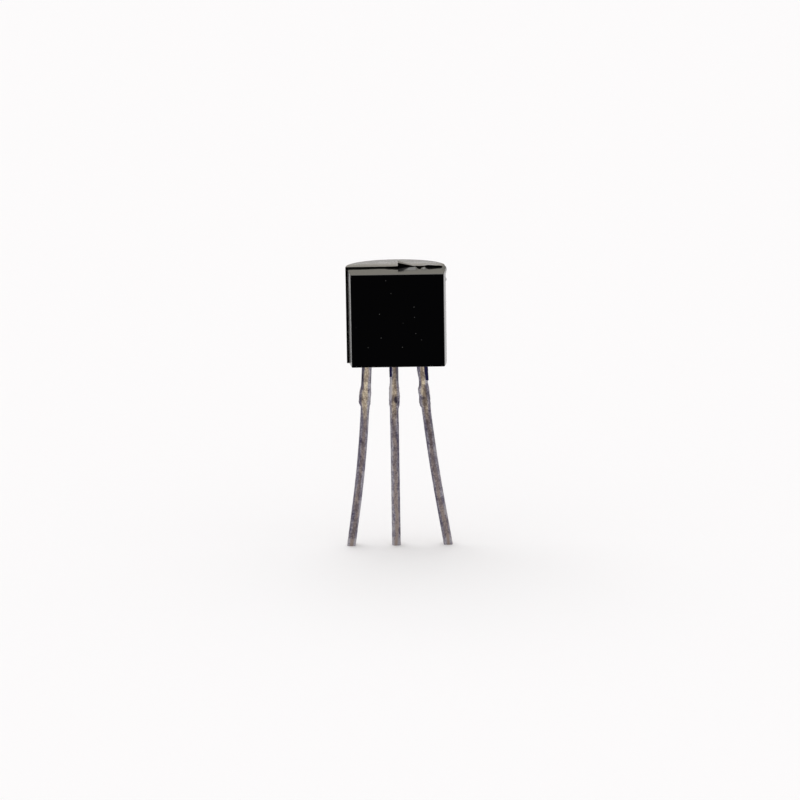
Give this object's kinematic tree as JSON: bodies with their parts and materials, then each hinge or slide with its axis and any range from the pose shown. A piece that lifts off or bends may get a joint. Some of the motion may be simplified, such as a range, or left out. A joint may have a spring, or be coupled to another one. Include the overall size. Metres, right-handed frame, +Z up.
{
  "type": "led driver ic",
  "caption": "LED driver IC in a black moulded epoxy package with a flat front and a round back, standing on splayed tin-plated leads that plug into a board.",
  "frame": {"origin": "axis of the centre lead at the level where the leads enter their holes", "axes": "+Z up along the centre lead towards the body, -Y out of the flat front face, +X to the right seen from the front"},
  "size_m": [0.0063, 0.0033, 0.0182],
  "materials": {
    "epoxy": "matt black filled epoxy",
    "tin_plate": "dull mottled tin plate",
    "die_attach": "silver-filled adhesive",
    "silicon": "polished silicon",
    "bond_wire": "bright gold wire"
  },
  "bodies": {
    "root": {"epoxy_body": "epoxy", "lead_left": "tin_plate", "lead_centre": "tin_plate", "lead_right": "tin_plate", "die_attach": "die_attach", "die": "silicon", "wire_left": "bond_wire", "wire_down": "bond_wire", "wire_right": "bond_wire"}
  },
  "joints": []
}
